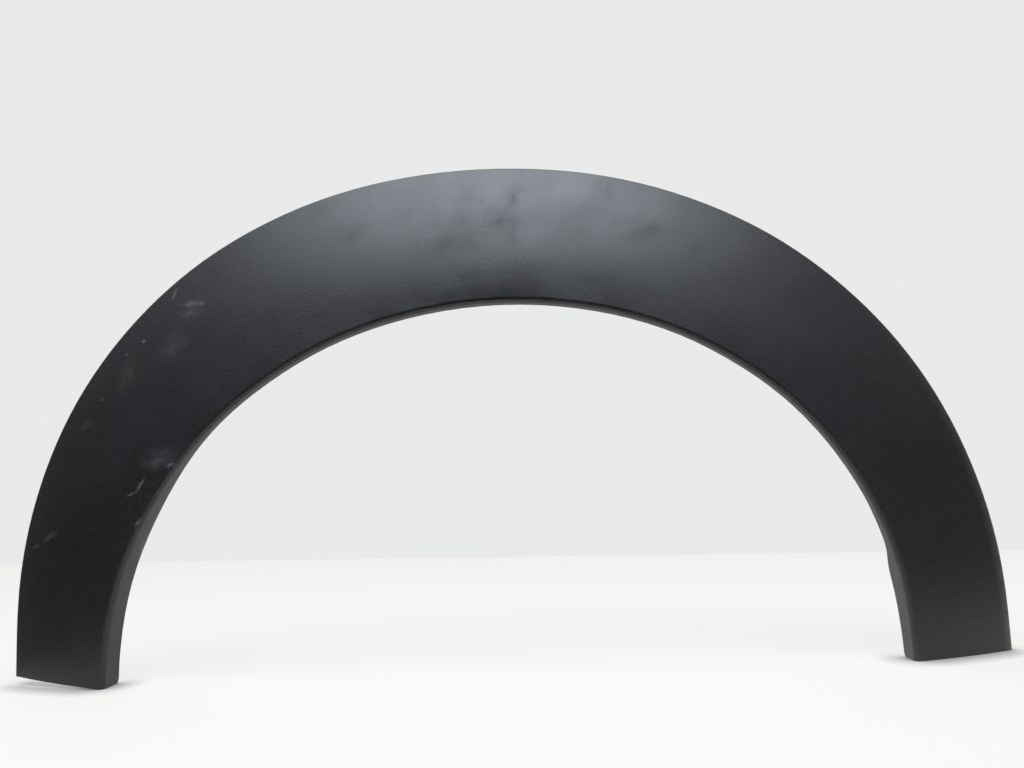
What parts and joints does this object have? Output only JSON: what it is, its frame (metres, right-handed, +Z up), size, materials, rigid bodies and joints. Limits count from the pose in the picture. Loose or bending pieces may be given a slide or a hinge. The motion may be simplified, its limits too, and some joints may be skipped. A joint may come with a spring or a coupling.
{
  "type": "wheel arch trim",
  "caption": "Arched black plastic trim for a car's wheel opening: a wide flared face, a rolled inner edge with a return lip, and clip towers and locating pins behind.",
  "frame": {"origin": "root of the crown locating pin, on the plane where the fixings meet the car's body", "axes": "+X along the car, to the right seen from outside, +Y into the body, +Z up; the face looks to -Y"},
  "size_m": [0.88, 0.052, 0.4551],
  "materials": {
    "black_plastic": "fine moulded grain, satin, scuffed"
  },
  "bodies": {
    "root": {"wheel_arch_trim": "black_plastic"}
  },
  "joints": []
}
